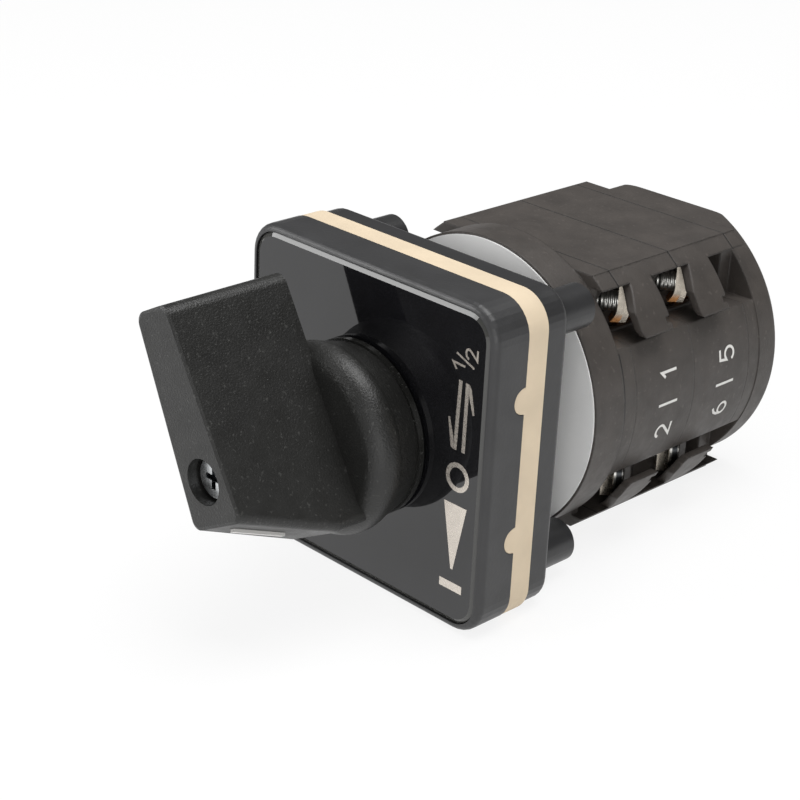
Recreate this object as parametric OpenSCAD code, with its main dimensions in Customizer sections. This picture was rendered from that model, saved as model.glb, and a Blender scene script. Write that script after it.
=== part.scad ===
// Rotary cam switch with a 48 mm square front plate, a lever knob and two contact stages.
// Every piece is drawn in front view: x to the right, y up, z towards the operator.
// The part's origin is the shaft axis in the plane of the mounting frame's back face.

/* [Front plate] */
// Side of the square front plate
plate_w = 48; // [46:0.5:52]
// Corner radius of the front plate
plate_corner_r = 5; // [4:0.5:6]
// Thickness of the bezel
bezel_t = 6.2; // [5.5:0.1:8]
// Edge rounding of the bezel's front
bezel_edge_r = 1.1; // [0.6:0.1:1.4]
// Width of the bezel's border round the legend plate
legend_inset = 1.2; // [1.1:0.1:2]
// Thickness of the legend plate
legend_t = 1.2; // [0.8:0.1:2]
// Polished bevel round the legend plate
legend_bevel = 0.6; // [0.2:0.1:0.8]
// Thickness of the gasket
gasket_t = 3.8; // [3:0.1:5]
// Radius of the nubs that key the gasket to the bezel
nub_r = 1.9; // [1.2:0.1:2.2]
// Height of the nubs above and below the shaft axis
nub_y = 10.3; // [8:0.1:14]

/* [Mounting frame] */
// Step from the bezel's side in to the mounting frame's side
frame_inset = 0.4; // [0.2:0.1:1.4]
// Thickness of the mounting frame
frame_t = 4.5; // [4:0.1:6]
// Distance of a screw post's axis from the mounting frame's sides
post_inset = 5.6; // [4.6:0.1:6.2]
// Radius of a screw post
post_r = 3.2; // [2.8:0.1:3.4]
// Length of a screw post behind the frame
post_len = 8.5; // [6:0.5:8.8]
// Radius of the pilot bore in a screw post
pilot_r = 1.45; // [1.2:0.05:1.8]
// Depth of the pilot bore
pilot_depth = 11.5; // [8:0.5:12]

/* [Body] */
// Length of the neck between the frame and the latch housing
neck_len = 8.9; // [8.8:0.1:12]
// Radius of the neck
neck_r = 13; // [12:0.5:14]
// Step from the finger guards in to the latch housing's round part
latch_step = 1.82; // [1.4:0.02:2.4]
// Length of the latch housing's round part
latch_t = 6.1; // [5.6:0.1:8]
// Length of the latch housing's square flange
flange_t = 3.5; // [3.3:0.1:5]
// Length of one contact stage
stage_t = 13.2; // [13:0.1:15]
// Step from the finger guards in to the stage's round side walls
side_step = 2.5; // [2.2:0.1:3]
// Height of the round side walls above and below the axis
side_h = 9.9; // [9.6:0.1:10.2]
// Half height of the block between its flat faces
block_h = 19.7; // [19.2:0.1:20.4]
// Half width of the block
block_w = 14.6; // [14.4:0.1:15]
// Outer radius of the finger guards at the four corners
guard_r = 24.4; // [24:0.1:25]
// Thickness of a finger guard
guard_t = 1.2; // [1:0.1:1.3]
// Length of a finger guard along the switch
guard_len = 6.5; // [5:0.1:7]
// Length of the end cap's flange
cap_flange_t = 2.6; // [2:0.1:4]
// Length of the end cap's round part
cap_t = 4.7; // [4:0.1:8]

/* [Knob] */
// Angle at which the knob points, from the right
knob_angle = -62; // [-70:1:-50]
// Height of the knob's front face above the legend
knob_h = 28.2; // [26:0.1:32]
// Radius of the hub's rim next to the legend
rim_r = 12.75; // [12:0.05:13.5]
// Largest radius of the hub
hub_r = 13.7; // [13.2:0.1:14.2]
// Height of the hub's front above the legend
hub_h = 9.6; // [8:0.1:10.5]
// Rounding of the hub's shoulder
hub_edge_r = 3; // [2:0.1:3.5]
// Reach of the grip's long end from the axis
grip_tail = 23.4; // [20:0.1:26]
// Reach of the grip's front face towards the pointer end
grip_nose = 6.2; // [5:0.1:8]
// Reach of the grip's foot at the pointer end
grip_foot = 11.9; // [11:0.1:12.6]
// Half width of the grip's long end
grip_tail_w = 3.7; // [3:0.1:5]
// Half width of the grip's front face at the pointer end
grip_nose_w = 5.3; // [4.4:0.1:6]
// Extra half width of the grip at its foot
grip_draft = 0.9; // [0.2:0.1:1.4]
// Height of the gap between the grip's long end and the legend
grip_gap = 9; // [7:0.1:9.5]
// Radius of the screw hole in the grip's front
screw_hole_r = 3.2; // [3:0.1:3.8]
// Depth at which the screw head lies
screw_hole_depth = 1.8; // [1.4:0.1:3]

/* [Movement] */
// Side of the square shaft
shaft_w = 6; // [5:0.1:6.2]
// Radius of the shaft's round journal
journal_r = 4.4; // [4.35:0.05:4.8]
// Running clearance of a turning or sliding pair
running_gap = 0.08; // [0.05:0.01:0.1]
// Clearance between pieces that lie still
rest_gap = 0.1; // [0.05:0.01:0.15]
// Small radius of a cam, where a contact is closed
cam_r = 7.4; // [6.8:0.1:7.8]
// Travel of a contact from closed to open
contact_lift = 2; // [1.2:0.1:2.2]
// Turn of the knob between its end positions
knob_turn = 120; // [90:1:124]
// Length of a cam along the shaft
cam_t = 7; // [5:0.1:8]
// Ridge radius of the index wheel
index_r = 8; // [7:0.1:8.4]
// Depth of the index wheel's notches
index_depth = 1; // [0.6:0.1:1.2]
// Turn from one index notch to the next
index_step = 60; // [60:60:60]
// Radius of an index plunger
index_plunger_r = 2.1; // [1.6:0.1:2.2]

/* [Contacts] */
// Height of a terminal above or below the axis
terminal_y = 13.8; // [13.7:0.1:13.9]
// Tilt of a terminal screw from straight sideways towards the rear
screw_tilt = 45; // [42:1:46]
// Width of a clamp strap across its screw
strap_w = 3.4; // [3:0.1:3.5]
// Thickness of a clamp strap
strap_t = 0.8; // [0.6:0.05:0.9]
// Radius of the bend at a clamp strap's foot
strap_bend_r = 4; // [3.4:0.1:5]
// Radius of a terminal screw's head
terminal_head_r = 2.2; // [1.9:0.05:2.25]
// Height of a terminal screw's head
terminal_head_t = 1.3; // [1.2:0.05:1.35]
// Radius of a terminal screw's thread
terminal_screw_r = 1.5; // [1.2:0.05:1.6]
// Thickness of a fixed contact
contact_t = 1; // [0.8:0.1:1]
// Width of a contact bridge along the switch
bridge_w = 4; // [3:0.1:4.4]
// Thickness of a contact bridge
bridge_t = 0.8; // [0.6:0.1:1]

/* [Hidden] */
$fn = 96;
// Segments of the small round pieces that a hull blends
hull_fn = 32;
// Angle between the two equal halves of a cam
half_turn = 180;
// Run of a cut past the face that it opens
over = 1;
// Thickness of the sheet that ends a hull
sheet = 0.01;

// Sizes that follow from the front plate and the finger guards
legend_w = plate_w - 2 * legend_inset;
frame_w = plate_w - 2 * frame_inset;
post_pitch = frame_w - 2 * post_inset;
latch_r = guard_r - latch_step;
side_r = guard_r - side_step;

// Levels along the axis, from the operator's side backwards
gasket_z = frame_t;
bezel_z = gasket_z + gasket_t;
face_z = bezel_z + bezel_t;
disc_z = -neck_len;
flange_z = disc_z - latch_t;
stage_1_z = flange_z - flange_t;
stage_2_z = stage_1_z - stage_t;
cap_z = stage_2_z - stage_t;
cap_disc_z = cap_z - cap_flange_t;
end_z = cap_disc_z - cap_t;

// Front plate details
legend_r = plate_corner_r - legend_inset;
legend_back_z = face_z - legend_t;
legend_hole_r = 11;
hub_hole_r = 6;
nub_depth = 1.6;
gasket_inset = 0.05;
gasket_hole_r = 15;

// Mounting frame details
frame_edge_r = 1;
frame_corner_r = plate_corner_r - frame_inset;
post_chamfer = 0.4;
spigot_r = 11.2;
spigot_len = 2.5;
seal_wire_r = 0.9;
seal_z = frame_t - seal_wire_r;
seal_groove_r = journal_r + running_gap + 2 * seal_wire_r;

// Screws that hold the latch housing to the frame
frame_screw_r = 1.25;
frame_screw_head_r = 2.3;
frame_screw_wall = 0.3;
frame_screw_x = seal_groove_r + frame_screw_head_r + rest_gap + frame_screw_wall;
frame_screw_head_t = 1.3;
frame_screw_len = 10;

// Tie bolts through the stages
tie_y = 16;
tie_r = 1.5;
tie_head_r = 2.8;
tie_head_t = 2;
tie_seat_depth = 3.2;
tie_seat_z = end_z + tie_seat_depth;
nut_af = 5.5;
nut_t = 2.4;

// Latch housing details
latch_front_t = 1.8;
index_wheel_t = 5;
index_room_r = 9.6;
index_wheel_z = disc_z - latch_front_t - running_gap - index_wheel_t;
index_axis_z = index_wheel_z + index_wheel_t / 2;
index_wall_t = 2.18;
index_wall_x = latch_r - index_wall_t;
index_plunger_len = 6.5;
index_tip_r = 1.6;
index_spring_r = 1.7;
index_spring_wire = 0.45;
label_t = 0.2;
label_margin = 0.35;
label_neck_gap = 0.6;
label_inner_r = neck_r + label_neck_gap;

// Rooms inside a stage
floor_t = 1.8;
cam_room_gap = 0.6;
cam_room_r = cam_r + contact_lift + cam_room_gap;
guide_t = 1.8;
chamber_x = cam_room_r + guide_t;
chamber_h = 8;
side_wall_t = 1.6;
chamber_r = side_r - side_wall_t;
shaft_hole_r = 4.9;
cam_z_share = 0.5;
plunger_h = 5;
plunger_w = 4.2;
plunger_nose_r = 1.6;

// Corner openings at the terminals
slab_y = 17.8;
recess_y = 10.2;
room_t = 8.2;
room_back_t = 3.4;
room_flange_t = 2.1;
pocket_x = 12.3;
guard_start = 0.6;
guard_tip_y = 11.3;
guard_hook_y = 12.1;
guard_top_back = 10;
guard_curve = 1.9;
guard_hook = 0.9;

// Fixed contact
contact_x = pocket_x + rest_gap;
leg_y = 3.4;
leg_w = 4;
leg_top_y = 10.9;
leg_neck_w = 0.8;
tip_r = 1.5;
tip_t = 0.6;
seat_gap = 0.05;
closed_x = contact_x + contact_t + tip_t + seat_gap;
bridge_h = 6.6;
bridge_hole_r = 1;
bridge_pin_r = 0.9;
bridge_pin_len = 1.6;
contact_spring_r = 2;
contact_spring_wire = 0.5;

// Inclined terminal: its centre is where the screw's axis meets the contact's tab
terminal_x = 14;
terminal_d = 4.8;
strap_top = 2.8;
strap_straight = 0.5;
strap_foot = 2.7;
screw_tip_len = 4.6;
tip_len = 1.5;

// Knob details
rim_t = 0.9;
rim_step = 0.35;
rim_gap = 0.5;
corner_tail_r = 1.8;
corner_nose_r = 1.4;
grip_edge = 0.45;
foot_h = 13.4;
web_t = 2.8;
knob_screw_r = 1.5;
knob_head_r = 2.75;
knob_head_t = 1.8;
knob_screw_len = 9;
head_z = face_z + knob_h - screw_hole_depth;
shaft_top_z = head_z - knob_head_t - web_t;
socket_z = shaft_top_z + rest_gap;
recess_arm = 0.8;
recess_depth = 0.9;
inlay_w = 0.9;
inlay_t = 0.4;
inlay_proud = 0.05;
inlay_from = 2.4;
inlay_to = 10.6;
nose_slope = atan2(grip_foot - grip_nose, knob_h - foot_h);

// Shaft details
shaft_round_len = 2;
shaft_round_top_z = bezel_z + shaft_round_len;
shaft_round_end_z = disc_z - latch_front_t;
shaft_square_end_z = cap_z + floor_t;
stub_r = 2.9;
shaft_end_gap = 2.2;
shaft_end_z = end_z + shaft_end_gap;
clip_r = 4.6;
clip_t = 0.7;
clip_groove_r = 2.3;
clip_mouth = 1.85;
clip_drop = 1.9;
clip_z = cap_z - clip_drop;
cap_room_r = 6.5;
cap_room_t = 3.4;

// Turns a piece from its front view into the part's frame
module facing() { rotate([90, 0, 0]) children(); }

// The places of the four screw posts
module at_posts() {
    for (sx = [-1, 1]) for (sy = [-1, 1])
        translate([sx * post_pitch / 2, sy * post_pitch / 2]) children();
}

// A square outline with true round corners
module rounded_square(w, r) {
    square([w - 2 * r, w], center = true);
    square([w, w - 2 * r], center = true);
    for (sx = [-1, 1]) for (sy = [-1, 1])
        translate([sx * (w / 2 - r), sy * (w / 2 - r)]) circle(r);
}

// A square plate whose front edge is rounded all the way round; edge is the rounding's radius
module soft_plate(w, r, t, edge) {
    hull() for (sx = [-1, 1]) for (sy = [-1, 1])
        translate([sx * (w / 2 - r), sy * (w / 2 - r)])
            rotate_extrude($fn = hull_fn) {
                square([r, t - edge]);
                square([r - edge, t]);
                translate([r - edge, t - edge]) circle(edge);
            }
}

// Cross recess of a screw head, cut from z = 0 downwards
module cross_recess(arm, depth) {
    for (a = [0, 90]) rotate(a)
        translate([-arm * 2, -arm / 2, -depth]) cube([arm * 4, arm, depth + over]);
}

module bezel() {
    color("#202020") facing() difference() {
        translate([0, 0, bezel_z]) soft_plate(plate_w, plate_corner_r, bezel_t, bezel_edge_r);
        translate([0, 0, legend_back_z - rest_gap])
            linear_extrude(legend_t + over) rounded_square(legend_w + 2 * rest_gap, legend_r + rest_gap);
        translate([0, 0, bezel_z - over]) cylinder(r = hub_hole_r, h = bezel_t + 2 * over);
        for (sx = [-1, 1]) for (sy = [-1, 1])
            translate([sx * (plate_w / 2 - (nub_depth + rest_gap) / 2 + over / 2), sy * nub_y, bezel_z])
                rotate([0, 90, 0])
                    cylinder(r = nub_r + rest_gap, h = nub_depth + rest_gap + over, center = true);
    }
}

module legend_plate() {
    color("#141414") facing() translate([0, 0, legend_back_z]) difference() {
        hull() for (sx = [-1, 1]) for (sy = [-1, 1])
            translate([sx * (legend_w / 2 - legend_r), sy * (legend_w / 2 - legend_r)]) {
                cylinder(r = legend_r, h = legend_t - legend_bevel / 2, $fn = hull_fn);
                cylinder(r = legend_r - legend_bevel, h = legend_t, $fn = hull_fn);
            }
        translate([0, 0, -over]) cylinder(r = legend_hole_r, h = legend_t + 2 * over);
    }
}

module gasket() {
    gasket_w = plate_w - 2 * gasket_inset;
    color("#e8dcc0") facing() translate([0, 0, gasket_z]) {
        difference() {
            linear_extrude(gasket_t) rounded_square(gasket_w, plate_corner_r - gasket_inset);
            translate([0, 0, -over]) cylinder(r = gasket_hole_r, h = gasket_t + 2 * over);
        }
        for (sx = [-1, 1]) for (sy = [-1, 1])
            translate([sx * (gasket_w - nub_depth) / 2, sy * nub_y, gasket_t])
                intersection() {
                    rotate([0, 90, 0]) cylinder(r = nub_r, h = nub_depth, center = true);
                    translate([-nub_depth, -nub_r - over, -gasket_t / 2])
                        cube([2 * nub_depth, 2 * (nub_r + over), gasket_t / 2 + nub_r + over]);
                }
    }
}

module mounting_frame() {
    color("#1e1f20") facing() difference() {
        union() {
            translate([0, 0, frame_t]) mirror([0, 0, 1])
                soft_plate(frame_w, frame_corner_r, frame_t, frame_edge_r);
            at_posts() translate([0, 0, -post_len]) {
                cylinder(r1 = post_r - post_chamfer, r2 = post_r, h = post_chamfer);
                translate([0, 0, post_chamfer]) cylinder(r = post_r, h = post_len - post_chamfer + frame_t / 2);
            }
        }
        at_posts() translate([0, 0, -post_len - over]) cylinder(r = pilot_r, h = pilot_depth + over);
        translate([0, 0, -over]) cylinder(r = spigot_r + rest_gap, h = spigot_len + rest_gap + over);
        cylinder(r = journal_r + running_gap, h = frame_t + over);
        translate([0, 0, seal_z - seal_wire_r]) cylinder(r = seal_groove_r, h = 2 * seal_wire_r + over);
        for (sx = [-1, 1]) translate([sx * frame_screw_x, 0, 0]) {
            cylinder(r = frame_screw_r + rest_gap, h = frame_t + over);
            translate([0, 0, frame_t - frame_screw_head_t])
                cylinder(r = frame_screw_head_r + rest_gap, h = frame_screw_head_t + over);
        }
    }
}

module frame_screws() {
    color("#c8ccd0") facing() for (sx = [-1, 1]) translate([sx * frame_screw_x, 0, frame_t])
        difference() {
            union() {
                translate([0, 0, -frame_screw_head_t])
                    cylinder(r = frame_screw_head_r, h = frame_screw_head_t - rest_gap);
                translate([0, 0, -frame_screw_len]) cylinder(r = frame_screw_r, h = frame_screw_len - rest_gap);
            }
            translate([0, 0, -rest_gap]) cross_recess(recess_arm / 2, recess_depth / 2);
        }
}

module shaft_seal() {
    color("#303030") facing() translate([0, 0, seal_z])
        rotate_extrude() translate([journal_r + running_gap + seal_wire_r, 0]) circle(seal_wire_r);
}

// Outline of a stage: block, round side walls and the slabs that carry the finger guards
module stage_outline() {
    square([2 * block_w, 2 * block_h], center = true);
    intersection() {
        circle(side_r);
        square([2 * side_r + over, 2 * side_h], center = true);
    }
    intersection() {
        circle(guard_r);
        for (sy = [-1, 1]) translate([0, sy * (slab_y + block_h) / 2])
            square([2 * guard_r, block_h - slab_y], center = true);
    }
}

// Repeats a piece drawn at the upper right corner at all four corners
module at_corners() {
    for (sx = [0, 1]) for (sy = [0, 1]) mirror([sx, 0, 0]) mirror([0, sy, 0]) children();
}

// Room for the terminals on one face of a housing
module terminal_room(depth) {
    at_corners() translate([pocket_x, recess_y, 0]) cube([guard_r, slab_y - recess_y, depth]);
}

// Turns a terminal's piece, drawn with its screw along x, to its place at the upper right of a stage
module at_terminal() {
    translate([terminal_x, terminal_y, -terminal_d]) rotate([0, screw_tilt, 0]) children();
}

// Bores in the block for the terminal screws' tips
module terminal_bores() {
    at_corners() at_terminal() translate([-screw_tip_len - rest_gap, 0, 0]) rotate([0, 90, 0])
        cylinder(r = terminal_screw_r + 2 * rest_gap, h = screw_tip_len);
}

module tie_holes(from_z, to_z) {
    for (sy = [-1, 1]) translate([0, sy * tie_y, to_z - over])
        cylinder(r = tie_r + rest_gap, h = from_z - to_z + 2 * over);
}

module latch_housing() {
    color("#3a3532") facing() difference() {
        union() {
            translate([0, 0, flange_z]) cylinder(r = latch_r, h = latch_t);
            translate([0, 0, stage_1_z]) linear_extrude(flange_t) stage_outline();
            translate([0, 0, disc_z]) cylinder(r = neck_r, h = neck_len);
            cylinder(r = spigot_r, h = spigot_len);
        }
        translate([0, 0, stage_1_z - over])
            cylinder(r = journal_r + running_gap, h = spigot_len - stage_1_z + 2 * over);
        translate([0, 0, stage_1_z - over])
            cylinder(r = index_room_r, h = shaft_round_end_z - stage_1_z + over);
        for (sx = [-1, 1]) translate([0, 0, index_axis_z]) rotate([0, sx * 90, 0])
            cylinder(r = index_plunger_r + running_gap, h = index_wall_x);
        for (sx = [-1, 1]) translate([sx * frame_screw_x, 0, frame_t - frame_screw_len - rest_gap])
            cylinder(r = frame_screw_r + rest_gap, h = frame_screw_len);
        tie_holes(disc_z, stage_1_z);
        for (sy = [-1, 1]) translate([0, sy * tie_y, disc_z - nut_t - rest_gap])
            cylinder(d = (nut_af + 2 * rest_gap) / cos(30), h = nut_t + rest_gap + over, $fn = 6);
        translate([0, 0, stage_1_z - over]) terminal_room(room_flange_t + over);
    }
}

module ring_label() {
    color("#f2f2ee") facing() translate([0, 0, disc_z]) difference() {
        cylinder(r = latch_r - label_margin, h = label_t);
        translate([0, 0, -over]) cylinder(r = label_inner_r, h = label_t + 2 * over);
    }
}

// Finger guard at the upper right corner of a stage whose front face is at z = 0
module finger_guard() {
    intersection() {
        difference() {
            translate([0, 0, -guard_start - guard_len]) cylinder(r = guard_r, h = guard_len);
            translate([0, 0, -guard_start - guard_len - over])
                cylinder(r = guard_r - guard_t, h = guard_len + 2 * over);
        }
        translate([0, 0, -guard_start]) rotate([0, 90, 0]) linear_extrude(guard_r + over) polygon([
            [guard_curve / 4, guard_tip_y],
            [guard_len, guard_tip_y],
            [guard_len, guard_hook_y],
            [guard_len - guard_hook, guard_hook_y],
            [guard_len - guard_hook, guard_hook_y + guard_hook],
            [guard_len - guard_hook / 4, guard_hook_y + guard_hook],
            [guard_top_back, slab_y],
            [guard_top_back, block_h],
            [guard_curve, block_h],
            [guard_curve, slab_y],
            [guard_curve / 4, (slab_y + guard_hook_y) / 2 + guard_curve / 4],
            [0, (slab_y + guard_tip_y) / 2],
            [0, guard_hook_y],
        ]);
    }
}

module stage_housing(front_z) {
    chamber_len = stage_t - floor_t;
    slot_len = stage_t * cam_z_share + leg_w / 2 + rest_gap;
    color("#3d3835") facing() translate([0, 0, front_z]) {
        difference() {
            translate([0, 0, -stage_t]) linear_extrude(stage_t) stage_outline();
            translate([0, 0, -stage_t - over]) cylinder(r = cam_room_r, h = chamber_len + over);
            translate([0, 0, -stage_t - over]) cylinder(r = shaft_hole_r, h = stage_t + 2 * over);
            // contact chambers, closed by the next housing
            translate([0, 0, -stage_t - over]) intersection() {
                cylinder(r = chamber_r, h = chamber_len + over);
                for (sx = [-1, 1]) translate([sx * (chamber_x + guard_r / 2), 0, (chamber_len + over) / 2])
                    cube([guard_r, 2 * chamber_h, chamber_len + over], center = true);
            }
            // guides of the contact plungers
            translate([0, 0, -stage_t - over]) linear_extrude(stage_t * (1 - cam_z_share) + plunger_w / 2 + over)
                square([2 * (chamber_x + over), plunger_h + 2 * running_gap], center = true);
            // slots for the fixed contacts, open to the front
            at_corners() translate([pocket_x, leg_y - rest_gap, -slot_len])
                cube([contact_t + 2 * rest_gap, leg_top_y + 2 * rest_gap - leg_y, slot_len + over]);
            translate([0, 0, -room_t]) terminal_room(room_t + over);
            translate([0, 0, -stage_t - over]) terminal_room(room_back_t + over);
            terminal_bores();
            tie_holes(0, -stage_t);
        }
        at_corners() finger_guard();
    }
}

module end_cap() {
    color("#3a3532") facing() difference() {
        union() {
            translate([0, 0, cap_disc_z]) linear_extrude(cap_flange_t) stage_outline();
            translate([0, 0, end_z]) intersection() {
                rotate_extrude() {
                    square([side_r + rest_gap - bezel_edge_r, cap_t]);
                    translate([0, bezel_edge_r]) square([side_r + rest_gap, cap_t - bezel_edge_r]);
                    translate([side_r + rest_gap - bezel_edge_r, bezel_edge_r]) circle(bezel_edge_r);
                }
                linear_extrude(cap_t) square([2 * guard_r, 2 * block_h], center = true);
            }
        }
        translate([0, 0, cap_z - cap_room_t]) cylinder(r = cap_room_r, h = cap_room_t + over);
        translate([0, 0, shaft_end_z - rest_gap]) cylinder(r = stub_r + running_gap, h = cap_z - shaft_end_z);
        tie_holes(cap_z, end_z);
        for (sy = [-1, 1]) translate([0, sy * tie_y, end_z - over])
            cylinder(r = tie_head_r + rest_gap, h = tie_seat_z - end_z + over);
    }
}

module tie_bolts() {
    color("#c8ccd0") facing() for (sy = [-1, 1]) translate([0, sy * tie_y, 0]) difference() {
        union() {
            translate([0, 0, tie_seat_z - tie_head_t]) cylinder(r = tie_head_r, h = tie_head_t);
            translate([0, 0, tie_seat_z]) cylinder(r = tie_r, h = disc_z - tie_seat_z - rest_gap);
        }
        translate([0, 0, tie_seat_z - tie_head_t]) mirror([0, 0, 1]) cross_recess(recess_arm, recess_depth);
    }
}

module tie_nuts() {
    color("#b8bcc0") facing() for (sy = [-1, 1]) translate([0, sy * tie_y, disc_z - nut_t]) difference() {
        cylinder(d = nut_af / cos(30), h = nut_t, $fn = 6);
        translate([0, 0, -over]) cylinder(r = tie_r + rest_gap / 2, h = nut_t + 2 * over);
    }
}

// Side view of a terminal's sheet between two distances from the seat: straight at the screw, bent at its foot
module strap_profile(from_x, to_x) {
    translate([from_x, -strap_straight]) square([to_x - from_x, strap_straight + strap_top]);
    intersection() {
        translate([-strap_bend_r, -strap_straight]) difference() {
            circle(strap_bend_r + to_x);
            circle(strap_bend_r + from_x);
        }
        translate([-strap_bend_r, -strap_foot]) square([strap_bend_r + to_x, strap_foot - strap_straight]);
    }
}

// Fixed contact at the upper right of a stage whose front face is at z = 0
module contact_strip() {
    centre = -stage_t * cam_z_share;
    difference() {
        union() {
            translate([contact_x, leg_y, centre - leg_w / 2]) cube([contact_t, leg_top_y - leg_y, leg_w]);
            translate([contact_x, leg_y, centre + leg_w / 2 - leg_neck_w])
                cube([contact_t, terminal_y - leg_y, leg_neck_w]);
            translate([contact_x + contact_t, leg_y + tip_r, centre]) rotate([0, 90, 0])
                cylinder(r = tip_r, h = tip_t);
            intersection() {
                at_terminal() translate([0, 0, -strap_w / 2]) linear_extrude(strap_w) strap_profile(-contact_t, 0);
                translate([contact_x, 0, -stage_t]) cube([guard_r, guard_r, stage_t]);
            }
        }
        at_terminal() translate([-screw_tip_len, 0, 0]) rotate([0, 90, 0])
            cylinder(r = terminal_screw_r + rest_gap / 2, h = screw_tip_len + over);
        // seat of the clamp strap
        at_terminal() translate([0, 0, -strap_w / 2 - rest_gap])
            linear_extrude(strap_w + 2 * rest_gap) strap_profile(0, strap_t + contact_t);
    }
}

// Places a contact by its side, its height and its stage's front
module contact_at(right, up, front_z) {
    color("#c49a52") facing() translate([0, 0, front_z])
        mirror([right ? 0 : 1, 0, 0]) mirror([0, up ? 0 : 1, 0]) contact_strip();
}

// Repeats a terminal's piece, drawn with its screw along x, at all eight terminals
module at_terminals() {
    for (front_z = [stage_1_z, stage_2_z]) translate([0, 0, front_z]) at_corners() at_terminal() children();
}

module clamp_washers() {
    color("#d0c8b8") facing() at_terminals() difference() {
        translate([0, 0, -strap_w / 2]) linear_extrude(strap_w) strap_profile(0, strap_t);
        translate([-over, 0, 0]) rotate([0, 90, 0]) cylinder(r = terminal_screw_r + rest_gap, h = strap_t + 2 * over);
    }
}

module terminal_screws() {
    color("#d4d8dc") facing() at_terminals() difference() {
        union() {
            translate([strap_t, 0, 0]) rotate([0, 90, 0]) cylinder(r = terminal_head_r, h = terminal_head_t);
            translate([tip_len - screw_tip_len, 0, 0]) rotate([0, 90, 0])
                cylinder(r = terminal_screw_r, h = screw_tip_len - tip_len + strap_t);
            translate([-screw_tip_len, 0, 0]) rotate([0, 90, 0])
                cylinder(r1 = tip_r / 2, r2 = terminal_screw_r, h = tip_len);
        }
        translate([strap_t + terminal_head_t, 0, 0]) rotate([0, 90, 0]) cross_recess(recess_arm, recess_depth);
    }
}

module drive_shaft() {
    color("#b4b8bc") facing() difference() {
        union() {
            translate([-shaft_w / 2, -shaft_w / 2, shaft_round_top_z])
                cube([shaft_w, shaft_w, shaft_top_z - shaft_round_top_z]);
            translate([0, 0, shaft_round_end_z])
                cylinder(r = journal_r, h = shaft_round_top_z - shaft_round_end_z);
            translate([-shaft_w / 2, -shaft_w / 2, shaft_square_end_z])
                cube([shaft_w, shaft_w, shaft_round_end_z - shaft_square_end_z]);
            translate([0, 0, shaft_end_z]) cylinder(r = stub_r, h = shaft_square_end_z - shaft_end_z);
        }
        translate([0, 0, shaft_top_z - knob_screw_len]) cylinder(r = knob_screw_r + rest_gap / 2, h = knob_screw_len + over);
        translate([0, 0, clip_z]) difference() {
            cylinder(r = journal_r, h = clip_t + 2 * rest_gap);
            translate([0, 0, -over]) cylinder(r = clip_groove_r, h = clip_t + 2 * over);
        }
    }
}

module shaft_clip() {
    color("#9aa0a4") facing() translate([0, 0, clip_z + rest_gap]) difference() {
        cylinder(r = clip_r, h = clip_t);
        translate([0, 0, -over]) cylinder(r = clip_groove_r + rest_gap / 2, h = clip_t + 2 * over);
        translate([0, -clip_mouth, -over]) cube([clip_r + over, 2 * clip_mouth, clip_t + 2 * over]);
    }
}

// The grip's plan corner: an upright round post whose front edge is eased
module grip_corner(s, half_w, r, z) {
    for (side = [-1, 1]) translate([s, side * (half_w - r), z]) {
        translate([0, 0, -grip_edge]) cylinder(r = r, h = grip_edge / 2, $fn = hull_fn);
        cylinder(r = r - grip_edge, h = sheet, $fn = hull_fn);
    }
}

module grip() {
    front = face_z + knob_h;
    foot_w = grip_nose_w + grip_draft;
    hull() {
        grip_corner(corner_tail_r - grip_tail, grip_tail_w, corner_tail_r, front - sheet);
        grip_corner(grip_nose - corner_nose_r, grip_nose_w, corner_nose_r, front - sheet);
        for (side = [-1, 1]) {
            translate([corner_tail_r - grip_tail, side * (grip_tail_w + grip_draft - corner_tail_r), face_z + grip_gap])
                cylinder(r = corner_tail_r, h = grip_edge, $fn = hull_fn);
            translate([grip_foot - corner_nose_r, side * (foot_w - corner_nose_r), face_z + hub_h / 2])
                cylinder(r = corner_nose_r, h = foot_h - hub_h / 2, $fn = hull_fn);
        }
    }
}

module hub() {
    shoulder_z = face_z + hub_h - hub_edge_r;
    rim_z = face_z + rim_gap;
    rotate_extrude() {
        polygon([
            [0, rim_z],
            [rim_r, rim_z],
            [rim_r, rim_z + rim_t],
            [rim_r - rim_step, rim_z + rim_t],
            [hub_r, shoulder_z],
            [hub_r - hub_edge_r, face_z + hub_h],
            [0, face_z + hub_h],
        ]);
        translate([hub_r - hub_edge_r, shoulder_z]) circle(hub_edge_r);
    }
}

module knob() {
    color("#242424") facing() rotate(knob_angle) difference() {
        union() {
            hub();
            difference() {
                grip();
                translate([-grip_tail - over, -grip_tail, face_z])
                    cube([grip_tail + over, 2 * grip_tail, grip_gap]);
            }
        }
        translate([0, 0, head_z - knob_head_t]) cylinder(r = screw_hole_r, h = knob_head_t + screw_hole_depth + over);
        translate([0, 0, shaft_top_z - over]) cylinder(r = knob_screw_r + rest_gap, h = web_t + 2 * over);
        rotate(-knob_angle) translate([-shaft_w / 2 - rest_gap, -shaft_w / 2 - rest_gap, face_z])
            cube([shaft_w + 2 * rest_gap, shaft_w + 2 * rest_gap, socket_z - face_z]);
        inlay(rest_gap / 2);
    }
}

// The indicator line set into the sloping end of the grip; ease widens it into its groove
module inlay(ease) {
    translate([grip_nose, 0, face_z + knob_h]) rotate([0, 180 - nose_slope, 0])
        translate([-inlay_t + (ease > 0 ? -ease : 0), -inlay_w / 2 - ease, inlay_from - ease])
            cube([inlay_t + ease + (ease > 0 ? over : inlay_proud), inlay_w + 2 * ease, inlay_to - inlay_from + 2 * ease]);
}

module pointer_inlay() {
    color("#f4f4f4") facing() rotate(knob_angle) inlay(0);
}

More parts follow.
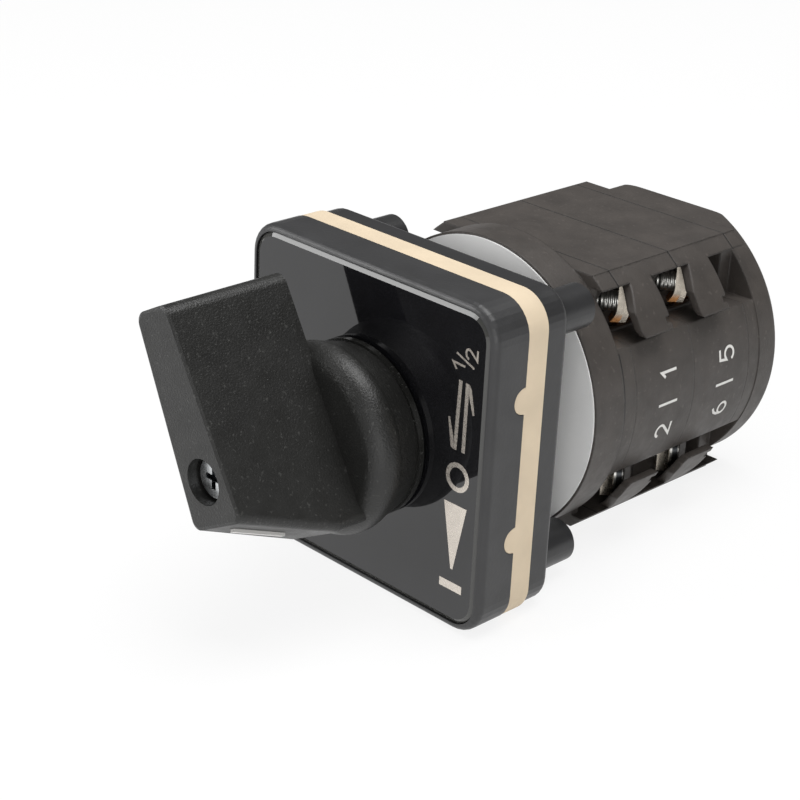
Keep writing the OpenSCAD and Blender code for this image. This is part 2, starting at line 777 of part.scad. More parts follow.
module knob_screw() {
    color("#d8dcdf") facing() translate([0, 0, head_z]) difference() {
        union() {
            translate([0, 0, -knob_head_t]) cylinder(r = knob_head_r, h = knob_head_t);
            translate([0, 0, -knob_head_t - web_t - knob_screw_len + over])
                cylinder(r = knob_screw_r, h = web_t + knob_screw_len);
        }
        cross_recess(recess_arm, recess_depth);
    }
}

module index_wheel() {
    notch_r = index_tip_r + running_gap;
    color("#d8d8d0") facing() translate([0, 0, index_wheel_z]) difference() {
        cylinder(r = index_r, h = index_wheel_t);
        for (a = [0 : index_step : 359]) rotate(a) translate([index_r - index_depth + notch_r, 0, -over])
            cylinder(r = notch_r, h = index_wheel_t + 2 * over);
        translate([-shaft_w / 2 - rest_gap, -shaft_w / 2 - rest_gap, -over])
            cube([shaft_w + 2 * rest_gap, shaft_w + 2 * rest_gap, index_wheel_t + 2 * over]);
    }
}

// Index plunger on the right, drawn lifted to the wheel's ridges
module index_plunger() {
    tip_x = index_r + running_gap;
    intersection() {
        translate([tip_x + index_tip_r, 0, index_axis_z - index_plunger_r])
            cylinder(r = index_tip_r, h = 2 * index_plunger_r);
        translate([tip_x, 0, index_axis_z]) rotate([0, 90, 0])
            cylinder(r = index_plunger_r, h = index_plunger_len);
    }
    translate([tip_x + index_tip_r, 0, index_axis_z]) rotate([0, 90, 0])
        cylinder(r = index_plunger_r, h = index_plunger_len);
}

module index_plunger_right() { color("#e0e0d8") facing() index_plunger(); }

module index_plunger_left() { color("#e0e0d8") facing() mirror([1, 0, 0]) index_plunger(); }

// A coil spring as a closed sleeve between two seats on the x axis
module spring_sleeve(from_x, to_x, r, wire, z) {
    translate([from_x, 0, z]) rotate([0, 90, 0]) difference() {
        cylinder(r = r, h = to_x - from_x);
        translate([0, 0, -over]) cylinder(r = r - wire, h = to_x - from_x + 2 * over);
    }
}

module index_spring() {
    spring_sleeve(index_r + running_gap + index_tip_r + index_plunger_len, index_wall_x, index_spring_r,
        index_spring_wire, index_axis_z);
}

module index_spring_right() { color("#a8acb0") facing() index_spring(); }

module index_spring_left() { color("#a8acb0") facing() mirror([1, 0, 0]) index_spring(); }

// Radius of a cam at an angle behind the closed position: a steady rise, a dwell and a return
function cam_rise(u) =
    let (dwell = 14, back = half_turn - knob_turn - 2 * dwell)
    u < knob_turn ? contact_lift * u / knob_turn
    : u < knob_turn + dwell ? contact_lift
    : u < knob_turn + dwell + back ? contact_lift * (1 - (u - knob_turn - dwell) / back)
    : 0;

// A cam for two opposite plungers; it closes them at the start or at the end of the turn
module cam(closes_at_start, front_z) {
    step = 4;
    color("#e4e0d4") facing() translate([0, 0, front_z - stage_t * cam_z_share - cam_t / 2]) difference() {
        linear_extrude(cam_t) polygon([
            for (a = [0 : step : 359]) let (
                u = a % half_turn,
                r = cam_r + (closes_at_start ? cam_rise(u) : cam_rise((half_turn + knob_turn - u) % half_turn)))
            [r * cos(a), -r * sin(a)]
        ]);
        translate([-shaft_w / 2 - rest_gap, -shaft_w / 2 - rest_gap, -over])
            cube([shaft_w + 2 * rest_gap, shaft_w + 2 * rest_gap, cam_t + 2 * over]);
    }
}

module cam_1() { cam(true, stage_1_z); }

module cam_2() { cam(false, stage_2_z); }

// A contact plunger on the right; lift moves it outwards from the closed position
module contact_plunger(front_z, lift) {
    centre = front_z - stage_t * cam_z_share;
    nose_x = cam_r + running_gap;
    color("#e8e4dc") translate([lift, 0, centre]) {
        translate([nose_x + plunger_nose_r, 0, -plunger_w / 2]) cylinder(r = plunger_nose_r, h = plunger_w);
        translate([nose_x + plunger_nose_r, -plunger_h / 2, -plunger_w / 2])
            cube([closed_x - nose_x - plunger_nose_r, plunger_h, plunger_w]);
        translate([closed_x - over, 0, 0]) rotate([0, 90, 0])
            cylinder(r = bridge_pin_r, h = over + bridge_t + bridge_pin_len);
    }
}

module contact_bridge(front_z, lift) {
    centre = front_z - stage_t * cam_z_share;
    color("#c89c54") translate([closed_x + lift, 0, centre]) difference() {
        translate([0, -bridge_h, -bridge_w / 2]) cube([bridge_t, 2 * bridge_h, bridge_w]);
        translate([-over, 0, 0]) rotate([0, 90, 0]) cylinder(r = bridge_hole_r, h = bridge_t + 2 * over);
    }
}

module contact_spring(front_z, lift) {
    centre = front_z - stage_t * cam_z_share;
    color("#a8acb0") spring_sleeve(closed_x + bridge_t + lift, chamber_r - rest_gap, contact_spring_r,
        contact_spring_wire, centre);
}

module plunger_1_2() { facing() contact_plunger(stage_1_z, 0); }

module plunger_3_4() { facing() mirror([1, 0, 0]) contact_plunger(stage_1_z, 0); }

module plunger_5_6() { facing() contact_plunger(stage_2_z, contact_lift); }

module plunger_7_8() { facing() mirror([1, 0, 0]) contact_plunger(stage_2_z, contact_lift); }

module bridge_1_2() { facing() contact_bridge(stage_1_z, 0); }

module bridge_3_4() { facing() mirror([1, 0, 0]) contact_bridge(stage_1_z, 0); }

module bridge_5_6() { facing() contact_bridge(stage_2_z, contact_lift); }

module bridge_7_8() { facing() mirror([1, 0, 0]) contact_bridge(stage_2_z, contact_lift); }

module contact_spring_1_2() { facing() contact_spring(stage_1_z, 0); }

module contact_spring_3_4() { facing() mirror([1, 0, 0]) contact_spring(stage_1_z, 0); }

module contact_spring_5_6() { facing() contact_spring(stage_2_z, contact_lift); }

module contact_spring_7_8() { facing() mirror([1, 0, 0]) contact_spring(stage_2_z, contact_lift); }

bezel();
legend_plate();
gasket();
mounting_frame();
frame_screws();
shaft_seal();
latch_housing();
ring_label();
stage_housing(stage_1_z);  // stage_1_housing
stage_housing(stage_2_z);  // stage_2_housing
end_cap();
tie_bolts();
tie_nuts();
contact_at(true, true, stage_1_z);  // fixed_contact_1
contact_at(true, false, stage_1_z);  // fixed_contact_2
contact_at(false, true, stage_1_z);  // fixed_contact_3
contact_at(false, false, stage_1_z);  // fixed_contact_4
contact_at(true, true, stage_2_z);  // fixed_contact_5
contact_at(true, false, stage_2_z);  // fixed_contact_6
contact_at(false, true, stage_2_z);  // fixed_contact_7
contact_at(false, false, stage_2_z);  // fixed_contact_8
clamp_washers();
terminal_screws();
drive_shaft();
shaft_clip();
knob();
knob_screw();
pointer_inlay();
index_wheel();
index_plunger_right();
index_plunger_left();
index_spring_right();
index_spring_left();
cam_1();
cam_2();
plunger_1_2();
plunger_3_4();
plunger_5_6();
plunger_7_8();
bridge_1_2();
bridge_3_4();
bridge_5_6();
bridge_7_8();
contact_spring_1_2();
contact_spring_3_4();
contact_spring_5_6();
contact_spring_7_8();
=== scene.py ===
"""Looks of a panel rotary cam switch: materials, legend marks, prints, light and camera."""

import math

import bpy
from mathutils import Matrix, Vector


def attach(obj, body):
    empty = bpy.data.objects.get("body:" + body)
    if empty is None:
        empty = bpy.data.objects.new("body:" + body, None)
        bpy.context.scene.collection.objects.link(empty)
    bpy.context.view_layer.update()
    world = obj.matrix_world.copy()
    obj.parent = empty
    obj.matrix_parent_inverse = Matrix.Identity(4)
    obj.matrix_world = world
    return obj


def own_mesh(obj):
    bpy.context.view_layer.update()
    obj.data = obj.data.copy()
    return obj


MM = 0.001
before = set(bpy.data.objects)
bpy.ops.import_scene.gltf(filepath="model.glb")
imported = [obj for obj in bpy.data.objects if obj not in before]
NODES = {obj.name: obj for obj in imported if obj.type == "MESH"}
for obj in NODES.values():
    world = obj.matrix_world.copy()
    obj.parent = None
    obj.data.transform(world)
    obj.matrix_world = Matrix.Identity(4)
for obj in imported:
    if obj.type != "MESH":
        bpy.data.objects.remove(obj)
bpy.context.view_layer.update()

# Legend plane, side radius and lift of marks in millimetres; Y grows away from the operator
LEGEND_Y = -14.5
SIDE_R = 21.9
MARK_LIFT = 0.02
# Joints between the mouldings and the start of the side walls behind the latch housing's disc, in metres
JOINT_LEVELS = (0.0185, 0.0317, 0.0449)
WALL_START = 0.0159
# Where the thin glossy rim of the knob's hub begins, in metres
RIM_START = -0.01595
# Distance between the two stages in metres, and the phase of the thread ribs per metre
STAGE_PITCH = 0.0132
THREAD_TURNS = 7400.0
# Depths below the screw heads' faces, counted as |x| + y: end of the recess and start of the shank
RECESS_TO = 0.00135
SHANK_FROM = 0.0022
RECESS_SHADE = (0.09, 0.095, 0.10)
# Depths over which the shade of a recess sets in: terminal screws, other screws
TERMINAL_RAMP = (0.00005, 0.00025)
HEAD_RAMP = (0.00005, 0.0004)
# Height from which a contact strip is plated, and its copper and plating, each from dark to light
PLATING_FROM = (0.0116, 0.0124)
PLATED_COLOURS = (((0.52, 0.24, 0.09), (0.66, 0.32, 0.13)), ((0.40, 0.36, 0.30), (0.54, 0.49, 0.42)))
# Heights where the joints show and where the side walls end, half the lines' width, the edges' shaded radius
FLATS_FROM = 0.0125
WALL_TO = 0.0093
JOINT_LINE = (0.00006, 0.00013)
SHADED_EDGE = 0.00045


def node_tree(name):
    """A new material with its node tree and its principled shader."""
    material = bpy.data.materials.new(name)
    material.use_nodes = True
    tree = material.node_tree
    return material, tree, tree.nodes["Principled BSDF"]


def noise(tree, coords, scale, detail=3.0, roughness=0.55):
    """A noise texture in object coordinates; scale is in cells per metre."""
    node = tree.nodes.new("ShaderNodeTexNoise")
    node.inputs["Scale"].default_value = scale
    node.inputs["Detail"].default_value = detail
    node.inputs["Roughness"].default_value = roughness
    tree.links.new(coords.outputs["Object"], node.inputs["Vector"])
    return node


def between(tree, source, low, high, start=0.3, stop=0.7):
    """Maps a noise value to the range from low to high."""
    node = tree.nodes.new("ShaderNodeMapRange")
    node.inputs["From Min"].default_value = start
    node.inputs["From Max"].default_value = stop
    node.inputs["To Min"].default_value = low
    node.inputs["To Max"].default_value = high
    tree.links.new(source, node.inputs["Value"])
    return node.outputs["Result"]


def calculate(tree, operation, first, second=None, third=None):
    """The result of one math node; its inputs are sockets or numbers."""
    node = tree.nodes.new("ShaderNodeMath")
    node.operation = operation
    for index, value in enumerate((first, second, third)):
        if isinstance(value, (int, float)):
            node.inputs[index].default_value = value
        elif value is not None:
            tree.links.new(value, node.inputs[index])
    return node.outputs[0]


def parts_of(tree, output="Object"):
    """The X, Y and Z of object coordinates, or of the object's normals, in metres."""
    coords = tree.nodes.new("ShaderNodeTexCoord")
    parts = tree.nodes.new("ShaderNodeSeparateXYZ")
    tree.links.new(coords.outputs[output], parts.inputs["Vector"])
    return parts.outputs


def two_tone(tree, factor, first, second):
    """A colour that goes from first to second with the factor; each is a socket or three numbers."""
    mix = tree.nodes.new("ShaderNodeMix")
    mix.data_type = "RGBA"
    tree.links.new(factor, mix.inputs["Factor"])
    for name, colour in (("A", first), ("B", second)):
        if isinstance(colour, tuple):
            mix.inputs[name].default_value = (*colour, 1)
        else:
            tree.links.new(colour, mix.inputs[name])
    return mix.outputs["Result"]


def recolour(material, factor, colour):
    """Lays a colour over a finish's own where the factor is high."""
    tree = material.node_tree
    base = tree.nodes["Principled BSDF"].inputs["Base Color"]
    tree.links.new(two_tone(tree, factor, base.links[0].from_socket, colour), base)


def finish_of(name, colour, rough, metallic=0.0, mottle=0.12, mottle_scale=140.0, grain=0.0,
              grain_scale=3000.0, rough_spread=0.06, coat=0.0, specks=0.0, specular=0.5, stretch=None):
    """A procedural finish: mottled colour, uneven roughness, fine grain and pale specks."""
    material, tree, shader = node_tree(name)
    coords = tree.nodes.new("ShaderNodeTexCoord")
    wide = noise(tree, coords, mottle_scale)
    low, high = (tuple(min(1.0, c * (1 + sign * mottle)) for c in colour) for sign in (-1, 1))
    base = two_tone(tree, between(tree, wide.outputs["Fac"], 0.0, 1.0), low, high)
    fine = noise(tree, coords, grain_scale, 2.0)
    if stretch:
        mapping = tree.nodes.new("ShaderNodeMapping")
        mapping.inputs["Scale"].default_value = stretch
        tree.links.new(coords.outputs["Object"], mapping.inputs["Vector"])
        tree.links.new(mapping.outputs["Vector"], fine.inputs["Vector"])
    if specks:
        spots = noise(tree, coords, grain_scale * 0.55, 1.0)
        share = between(tree, spots.outputs["Fac"], 0.0, specks, 0.66, 0.74)
        base = two_tone(tree, share, base, tuple(min(1.0, c * 3.2 + 0.02) for c in colour))
    tree.links.new(base, shader.inputs["Base Color"])
    uneven = noise(tree, coords, mottle_scale * 2.3)
    tree.links.new(between(tree, uneven.outputs["Fac"], max(0.02, rough - rough_spread), rough + rough_spread),
                   shader.inputs["Roughness"])
    if grain:
        bump = tree.nodes.new("ShaderNodeBump")
        bump.inputs["Strength"].default_value = grain
        bump.inputs["Distance"].default_value = 0.0001
        tree.links.new(fine.outputs["Fac"], bump.inputs["Height"])
        tree.links.new(bump.outputs["Normal"], shader.inputs["Normal"])
    shader.inputs["Metallic"].default_value = metallic
    shader.inputs["Coat Weight"].default_value = coat
    shader.inputs["Specular IOR Level"].default_value = specular
    return material


BEZEL = finish_of("bezel_plastic", (0.030, 0.030, 0.031), 0.42, grain=0.25, grain_scale=2600)
FRAME = finish_of("frame_plastic", (0.022, 0.022, 0.023), 0.36, grain=0.15, grain_scale=1800)
LEGEND = finish_of("legend_gloss", (0.006, 0.006, 0.007), 0.045, rough_spread=0.02, coat=0.4, mottle=0.2)
GASKET = finish_of("gasket_rubber", (0.66, 0.545, 0.395), 0.66, mottle=0.06, grain=0.2, grain_scale=1500)
HOUSING = finish_of("housing_plastic", (0.050, 0.043, 0.038), 0.5, mottle=0.16, mottle_scale=220, grain=0.3,
                    grain_scale=2400, specks=0.18)
KNOB = finish_of("knob_plastic", (0.011, 0.011, 0.010), 0.44, mottle=0.14, grain=0.85, grain_scale=3400,
                 specks=0.6)
LABEL = finish_of("label_film", (0.90, 0.90, 0.89), 0.35, mottle=0.02)
WHITE = finish_of("inlay_white", (0.62, 0.61, 0.59), 0.4, mottle=0.03)
PRINT = finish_of("print_white", (0.72, 0.71, 0.68), 0.45, mottle=0.04, mottle_scale=900)
SILVER = finish_of("mark_silver", (0.70, 0.64, 0.57), 0.28, metallic=0.72, mottle=0.05, mottle_scale=600)
ZINC = finish_of("zinc_plate", (0.74, 0.76, 0.77), 0.24, metallic=1.0, mottle=0.08, mottle_scale=500, grain=0.2)
NICKEL = finish_of("nickel_plate", (0.50, 0.45, 0.38), 0.26, metallic=1.0, mottle=0.1, mottle_scale=500,
                   grain=0.2)
BRASS = finish_of("brass_strip", (0.66, 0.40, 0.20), 0.33, metallic=1.0, mottle=0.12, mottle_scale=400,
                  grain=0.2, stretch=(1, 6, 1))
SHAFT = finish_of("shaft_metal", (0.62, 0.63, 0.64), 0.34, metallic=1.0, mottle=0.08, grain=0.25,
                  stretch=(6, 1, 6))
WIRE = finish_of("spring_wire", (0.56, 0.57, 0.58), 0.3, metallic=1.0, mottle=0.1, grain=0.2)
IVORY = finish_of("ivory_plastic", (0.72, 0.68, 0.58), 0.5, mottle=0.06, grain=0.2)
SEAL = finish_of("seal_rubber", (0.02, 0.02, 0.02), 0.7, mottle=0.1, grain=0.2)


def plated_strip():
    """Rolled copper alloy with a plated terminal tab: the plating starts above the strip's leg."""
    material, tree, shader = node_tree("plated_strip")
    coords = tree.nodes.new("ShaderNodeTexCoord")
    height = calculate(tree, "ABSOLUTE", parts_of(tree)["Z"])
    mottled = between(tree, noise(tree, coords, 900).outputs["Fac"], 0.0, 1.0)
    copper, plating = (two_tone(tree, mottled, *pair) for pair in PLATED_COLOURS)
    both = two_tone(tree, between(tree, height, 0.0, 1.0, *PLATING_FROM), copper, plating)
    tree.links.new(both, shader.inputs["Base Color"])
    uneven = noise(tree, coords, 2000)
    tree.links.new(between(tree, uneven.outputs["Fac"], 0.24, 0.36), shader.inputs["Roughness"])
    shader.inputs["Metallic"].default_value = 1.0
    return material


def ribbed_screw():
    """Zinc plated terminal screws: ribs of a thread along the inclined shank, a shaded recess in the head."""
    material = finish_of("ribbed_zinc", (0.74, 0.73, 0.69), 0.36, metallic=1.0, mottle=0.1, mottle_scale=500)
    tree = material.node_tree
    parts = parts_of(tree)
    # The screws lie at 45 degrees between X and Y, so |x| + y counts along all their axes
    along = calculate(tree, "ADD", calculate(tree, "ABSOLUTE", parts["X"]), parts["Y"])
    face = max(abs(vertex.co.x) + vertex.co.y for vertex in NODES["terminal_screws"].data.vertices)
    slack = 0.0001
    depth = calculate(tree, "WRAP", calculate(tree, "SUBTRACT", face, along), STAGE_PITCH - slack, -slack)
    wave = calculate(tree, "SINE", calculate(tree, "MULTIPLY", along, THREAD_TURNS))
    shank = calculate(tree, "GREATER_THAN", depth, SHANK_FROM)
    bump = tree.nodes.new("ShaderNodeBump")
    bump.inputs["Strength"].default_value = 0.7
    bump.inputs["Distance"].default_value = 0.00007
    tree.links.new(calculate(tree, "MULTIPLY", wave, shank), bump.inputs["Height"])
    tree.links.new(bump.outputs["Normal"], tree.nodes["Principled BSDF"].inputs["Normal"])
    recess = calculate(tree, "MULTIPLY", between(tree, depth, 0.0, 1.0, *TERMINAL_RAMP),
                       calculate(tree, "LESS_THAN", depth, RECESS_TO))
    recolour(material, recess, RECESS_SHADE)
    return material


def recessed_head(node, outermost):
    """Zinc plated steel whose cross recess lies in shade below the screw head's flat face."""
    level = outermost(vertex.co.y for vertex in NODES[node].data.vertices)
    material = finish_of(node + "_zinc", (0.70, 0.72, 0.73), 0.27, metallic=1.0, mottle=0.07, mottle_scale=500,
                         grain=0.05)
    tree = material.node_tree
    depth = calculate(tree, "ABSOLUTE", calculate(tree, "SUBTRACT", parts_of(tree)["Y"], level))
    recolour(material, between(tree, depth, 0.0, 1.0, *HEAD_RAMP), RECESS_SHADE)
    return material


def painted_bevel_highlight(material, low, high, colour):
    """Paints a highlight on the faces of a front plate that lean out of its plane: a lighter colour stands in
    for the light that a polished bevel reflects.
    """
    tree = material.node_tree
    lean = calculate(tree, "ABSOLUTE", parts_of(tree, "Normal")["Y"])
    recolour(material, between(tree, lean, 1.0, 0.0, low, high), colour)


def moulded_stack(material):
    """Rounded edges in the shading, and the dark joint lines between the stacked mouldings."""
    tree = material.node_tree
    parts = parts_of(tree)
    height = calculate(tree, "ABSOLUTE", parts["Z"])
    upright = calculate(tree, "LESS_THAN", calculate(tree, "ABSOLUTE", parts_of(tree, "Normal")["Y"]), 0.5)
    flats = calculate(tree, "GREATER_THAN", height, FLATS_FROM)
    wall = calculate(tree, "LESS_THAN", height, WALL_TO)
    line = None
    for level, where in [(y, flats) for y in JOINT_LEVELS] + [(WALL_START, wall)]:
        away = calculate(tree, "ABSOLUTE", calculate(tree, "SUBTRACT", parts["Y"], level))
        mark = calculate(tree, "MULTIPLY", between(tree, away, 1.0, 0.0, *JOINT_LINE), where)
        line = mark if line is None else calculate(tree, "MAXIMUM", line, mark)
    recolour(material, calculate(tree, "MULTIPLY", line, upright), (0.004, 0.004, 0.004))
    rounded = tree.nodes.new("ShaderNodeBevel")
    rounded.samples = 4
    rounded.inputs["Radius"].default_value = SHADED_EDGE
    bump = tree.nodes["Principled BSDF"].inputs["Normal"].links[0].from_node
    tree.links.new(rounded.outputs["Normal"], bump.inputs["Normal"])


def polished_rim(material, start, rough):
    """A smooth glossy rim on a grained piece, from a level onwards towards the rear."""
    tree = material.node_tree
    shader = tree.nodes["Principled BSDF"]
    grained = calculate(tree, "LESS_THAN", parts_of(tree)["Y"], start)
    strength = shader.inputs["Normal"].links[0].from_node.inputs["Strength"]
    tree.links.new(calculate(tree, "MULTIPLY", grained, strength.default_value), strength)
    uneven = shader.inputs["Roughness"].links[0].from_socket
    tree.links.new(calculate(tree, "MAXIMUM", calculate(tree, "MULTIPLY", uneven, grained), rough),
                   shader.inputs["Roughness"])


PLATED = plated_strip()
RIBBED = ribbed_screw()
polished_rim(KNOB, RIM_START, 0.2)
moulded_stack(HOUSING)
# Painted highlight on the legend plate's bevel: a lighter colour where its faces lean out of the plate's plane
painted_bevel_highlight(LEGEND, 0.86, 0.96, (0.075, 0.075, 0.07))
FINISHES = {
    "bezel": BEZEL, "mounting_frame": FRAME, "legend_plate": LEGEND, "gasket": GASKET,
    "latch_housing": HOUSING, "stage_1_housing": HOUSING, "stage_2_housing": HOUSING, "end_cap": HOUSING,
    "ring_label": LABEL, "knob": KNOB, "pointer_inlay": WHITE, "frame_screws": ZINC, "tie_nuts": ZINC,
    "knob_screw": recessed_head("knob_screw", min), "tie_bolts": recessed_head("tie_bolts", max),
    "terminal_screws": RIBBED, "clamp_washers": NICKEL,
    "drive_shaft": SHAFT, "shaft_clip": WIRE, "shaft_seal": SEAL,
}


def finish_for(name):
    """The finish of a CAD node by its name."""
    if name in FINISHES:
        return FINISHES[name]
    if name.startswith("fixed_contact"):
        return PLATED
    if name.startswith("bridge"):
        return BRASS
    if "spring" in name:
        return WIRE
    return IVORY


for name, obj in NODES.items():
    obj.data.materials.clear()
    obj.data.materials.append(finish_for(name))


def mesh_object(name, points, faces, material, body):
    """A new mesh piece in millimetres, riding on a body."""
    mesh = bpy.data.meshes.new(name)
    mesh.from_pydata([tuple(c * MM for c in p) for p in points], [], faces)
    mesh.materials.append(material)
    obj = bpy.data.objects.new(name, mesh)
    bpy.context.collection.objects.link(obj)
    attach(obj, body)
    return obj


def flat_mark(name, outline):
    """A flat mark on the legend from its outline in front view: x to the right, z up."""
    points = [(x, LEGEND_Y - MARK_LIFT, z) for x, z in outline]
    mesh_object(name, points, [tuple(range(len(points)))], SILVER, "housing")


def ribbon(line, width):
    """The two sides of a line of constant width with mitred corners, and its faces."""
    left, right = [], []
    count = len(line)
    for i, (x, z) in enumerate(line):
        before = Vector(line[max(i - 1, 0)])
        after = Vector(line[min(i + 1, count - 1)])
        here = Vector((x, z))
        arrive = (here - before).normalized() if i > 0 else (after - here).normalized()
        leave = (after - here).normalized() if i < count - 1 else arrive
        across = Vector((-(arrive + leave).y, (arrive + leave).x)).normalized()
        reach = width / 2 / max(0.35, across.dot(Vector((-arrive.y, arrive.x))))
        left.append((x + across.x * reach, z + across.y * reach))
        right.append((x - across.x * reach, z - across.y * reach))
    faces = [(i, i + 1, count + i + 1, count + i) for i in range(count - 1)]
    return left + right, faces


def stroke(name, line, width):
    """A line of constant width on the legend."""
    points, faces = ribbon(line, width)
    mesh_object(name, [(x, LEGEND_Y - MARK_LIFT, z) for x, z in points], faces, SILVER, "housing")


def arc(cx, cz, radius, start, stop, steps):
    """Points on an arc, angles in degrees."""
    return [(cx + radius * math.cos(math.radians(start + (stop - start) * i / steps)),
             cz + radius * math.sin(math.radians(start + (stop - start) * i / steps)))
            for i in range(steps + 1)]


RING_OUT, RING_IN = 2.13, 1.42
RING_AT = (18.6, -0.95)
rim = arc(*RING_AT, RING_OUT, 0, 360, 64)[:-1] + arc(*RING_AT, RING_IN, 0, 360, 64)[:-1]
ring_faces = [(i, (i + 1) % 64, 64 + (i + 1) % 64, 64 + i) for i in range(64)]
mesh_object("mark_ring", [(x, LEGEND_Y - MARK_LIFT, z) for x, z in rim], ring_faces, SILVER, "housing")
flat_mark("mark_wedge", [(16.44, -5.0), (20.65, -5.0), (18.72, -14.8), (18.32, -14.8)])
flat_mark("mark_bar", [(16.4, -16.76), (20.58, -16.76), (20.58, -18.0), (16.4, -18.0)])
stroke("mark_arrow_down", [(18.17, 13.0), (17.8, 2.9)], 0.62)
flat_mark("mark_barb_down", [(17.05, 3.1), (17.47, 2.92), (17.42, 4.6), (16.62, 7.3), (16.3, 7.2)])
stroke("mark_arrow_up", [(19.34, 2.9), (19.42, 12.9)], 0.62)
flat_mark("mark_barb_up", [(19.75, 12.93), (19.75, 11.4), (20.62, 8.75), (20.95, 8.9), (20.2, 12.3)])
stroke("mark_one", [(17.28, 14.3), (16.62, 15.2), (18.8, 15.08)], 0.32)
stroke("mark_slash", [(17.15, 16.6), (20.4, 15.3)], 0.3)
stroke("mark_two", [(19.36, 16.3), (18.95, 16.62), (18.8, 17.1), (18.95, 17.5), (19.3, 17.68), (19.7, 17.5),
                    (20.85, 16.5), (20.85, 17.95)], 0.32)

# Radius of the prints, height of the numbers, length of the line between two and their stroke, in millimetres
PRINT_R = SIDE_R + 0.04
PRINT_HEIGHT = 3.3
DASH_LENGTH = 4.2
PRINT_WEIGHT = 0.42
# Strokes of the printed numbers in a box one unit high
FIGURES = {
    "1": [[(-0.2, 0.27), (0.04, 0.5), (0.04, -0.5)]],
    "2": [arc(0, 0.22, 0.28, 170, -38, 16) + [(-0.3, -0.47), (0.31, -0.47)]],
    "3": [arc(0, 0.25, 0.25, 150, -80, 14), arc(0, -0.22, 0.28, 85, -150, 16)],
    "4": [[(0.14, -0.5), (0.14, 0.47), (-0.32, -0.22), (0.34, -0.22)]],
    "5": [[(0.27, 0.47), (-0.2, 0.47), (-0.25, 0.02)] + arc(0, -0.19, 0.31, 125, -150, 18)],
    "6": [arc(0, -0.2, 0.28, 0, 360, 28), [(-0.28, -0.2), (-0.26, 0.08), (-0.13, 0.33), (0.12, 0.49)]],
    "7": [[(-0.28, 0.47), (0.28, 0.47), (-0.1, -0.5)]],
    "8": [arc(0, 0.25, 0.23, 0, 360, 24), arc(0, -0.22, 0.28, 0, 360, 28)],
}


def side_print(name, figure, along_y, at_z, side):
    """A number printed on a stage's round side, with its top towards the operator."""
    points, faces = [], []
    for line in FIGURES[figure]:
        shape, quads = ribbon([(u * PRINT_HEIGHT, v * PRINT_HEIGHT) for u, v in line], PRINT_WEIGHT)
        faces += [tuple(len(points) + i for i in quad) for quad in quads]
        for u, v in shape:
            z = at_z + side * u
            points.append((side * math.sqrt(PRINT_R ** 2 - z ** 2), along_y - v, z))
    mesh_object(name, points, faces, PRINT, "housing")


def side_dash(name, along_y, at_z, side):
    """A printed line along the switch between two numbers."""
    rows = [at_z - PRINT_WEIGHT / 2, at_z + PRINT_WEIGHT / 2]
    points = [(side * math.sqrt(PRINT_R ** 2 - z ** 2), y, z)
              for z in rows for y in (along_y - DASH_LENGTH / 2, along_y + DASH_LENGTH / 2)]
    mesh_object(name, points, [(0, 1, 3, 2)], PRINT, "housing")


# Each row: its place along the switch, the heights of its two numbers and of the line between them
PRINT_ROWS = (("front", 25.9, 4.55, -0.2, -4.7, "12", "34"), ("rear", 39.4, 3.85, -0.65, -5.1, "56", "78"))
for row, y, upper_z, line_z, lower_z, on_right, on_left in PRINT_ROWS:
    for side_name, side, pair in (("right", 1, on_right), ("left", -1, on_left)):
        side_print(f"print_{side_name}_{row}_upper", pair[0], y, upper_z, side)
        side_dash(f"print_{side_name}_{row}_line", y - 0.15, line_z, side)
        side_print(f"print_{side_name}_{row}_lower", pair[1], y, lower_z, side)

# Each of the two springs that the knob's turn presses with their bridge's travel of 2 mm gets a mesh of its own
for name, wall in (("1_2", 20.2), ("3_4", -20.2)):
    spring = NODES["contact_spring_" + name]
    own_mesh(spring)

# Soft edges on the moulded pieces: width in millimetres
SOFT_EDGES = {"latch_housing": 0.25, "stage_1_housing": 0.22, "stage_2_housing": 0.22, "end_cap": 0.25,
              "gasket": 0.12}
for name, width in SOFT_EDGES.items():
    bevel = NODES[name].modifiers.new("soft_edge", "BEVEL")
    bevel.width = width * MM
    bevel.segments = 2
    bevel.limit_method = "ANGLE"
    bevel.angle_limit = math.radians(38)
    bevel.harden_normals = False


def blend_into(tree, factor, first, second, output):
    """Blends two shader nodes by a factor into an output's surface."""
    blend = tree.nodes.new("ShaderNodeMixShader")
    tree.links.new(factor, blend.inputs["Fac"])
    tree.links.new(first.outputs[0], blend.inputs[1])
    tree.links.new(second.outputs[0], blend.inputs[2])
    tree.links.new(blend.outputs[0], tree.nodes[output].inputs["Surface"])


# Share of its own white that the floor shows to the camera and in reflections
FLOOR_GLOW = 0.86
# Floor through the two edges that the switch lies on
FRONT_FOOT = Vector((0, -11.5, -24.02)) * MM
REAR_FOOT = Vector((0, 51.2, -19.72)) * MM
slope = math.atan2(REAR_FOOT.z - FRONT_FOOT.z, REAR_FOOT.y - FRONT_FOOT.y)
bpy.ops.mesh.primitive_plane_add(size=4.0)
floor = bpy.context.object
floor.name = "floor"
floor.matrix_world = Matrix.Translation(FRONT_FOOT) @ Matrix.Rotation(slope, 4, "X")

material, tree, shader = node_tree("floor_white")
shader.inputs["Base Color"].default_value = (0.9, 0.9, 0.9, 1)
shader.inputs["Roughness"].default_value = 0.9
path = tree.nodes.new("ShaderNodeLightPath").outputs
glow = tree.nodes.new("ShaderNodeEmission")
glow.inputs["Color"].default_value = (1, 1, 1, 1)
glow.inputs["Strength"].default_value = 1.0
seen = calculate(tree, "MAXIMUM", path["Is Camera Ray"], path["Is Glossy Ray"])
blend_into(tree, calculate(tree, "MULTIPLY", seen, FLOOR_GLOW), shader, glow, "Material Output")
floor.data.materials.append(material)

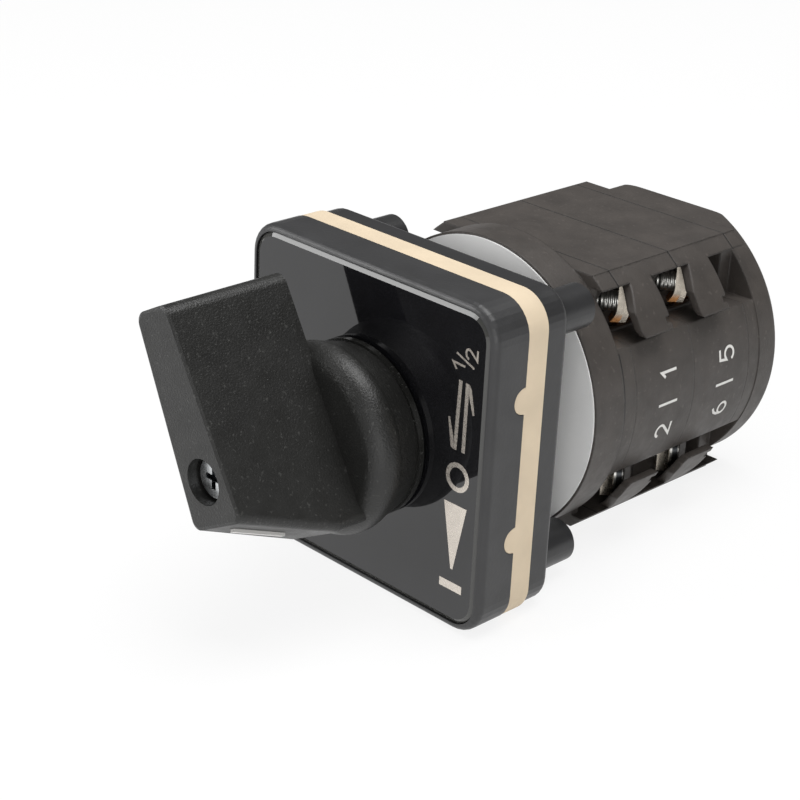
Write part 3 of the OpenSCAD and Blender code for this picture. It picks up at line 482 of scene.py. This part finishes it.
# World: white to the camera, dim as a light
world = bpy.data.worlds.new("studio")
bpy.context.scene.world = world
world.use_nodes = True
tree = world.node_tree
light = tree.nodes["Background"]
light.inputs["Color"].default_value = (1, 1, 1, 1)
light.inputs["Strength"].default_value = 0.18
white = tree.nodes.new("ShaderNodeBackground")
white.inputs["Color"].default_value = (1, 1, 1, 1)
white.inputs["Strength"].default_value = 1.0
path = tree.nodes.new("ShaderNodeLightPath").outputs
seen = calculate(tree, "MAXIMUM", path["Is Camera Ray"], path["Is Transmission Ray"])
blend_into(tree, seen, light, white, "World Output")


def lamp(name, at, size, watts, target=(0, 10, 0)):
    """A square soft box aimed at the switch; places are in millimetres."""
    data = bpy.data.lights.new(name, "AREA")
    data.size = size
    data.energy = watts
    obj = bpy.data.objects.new(name, data)
    bpy.context.collection.objects.link(obj)
    obj.location = Vector(at) * MM
    aim = Vector(target) * MM - obj.location
    obj.rotation_euler = aim.to_track_quat("-Z", "Y").to_euler()


lamp("top_box", (60, 40, 560), 0.45, 3.6)
lamp("front_box", (-420, -480, 260), 0.4, 2.7)
lamp("side_box", (400, -360, 90), 0.35, 1.0)

# Camera fitted to the photograph's edges
AZIMUTH, ELEVATION, ROLL = (math.radians(v) for v in (44.6695, 23.922, 2.7443))
back = Vector((math.sin(AZIMUTH) * math.cos(ELEVATION), -math.cos(AZIMUTH) * math.cos(ELEVATION),
               math.sin(ELEVATION)))
right = (-back).cross(Vector((0, 0, 1))).normalized()
down = (-back).cross(right)
turned_right = right * math.cos(ROLL) - down * math.sin(ROLL)
turned_down = right * math.sin(ROLL) + down * math.cos(ROLL)
camera = bpy.data.objects.new("camera", bpy.data.cameras.new("camera"))
bpy.context.collection.objects.link(camera)
turn = Matrix((turned_right, -turned_down, back)).transposed().to_4x4()
camera.matrix_world = Matrix.Translation(Vector((178.51, -187.80, 114.44)) * MM) @ turn
camera.data.sensor_width = 36
camera.data.lens = 88.885
camera.data.clip_start = 0.01
camera.data.clip_end = 20
bpy.context.scene.camera = camera
bpy.context.scene.view_settings.view_transform = "Standard"
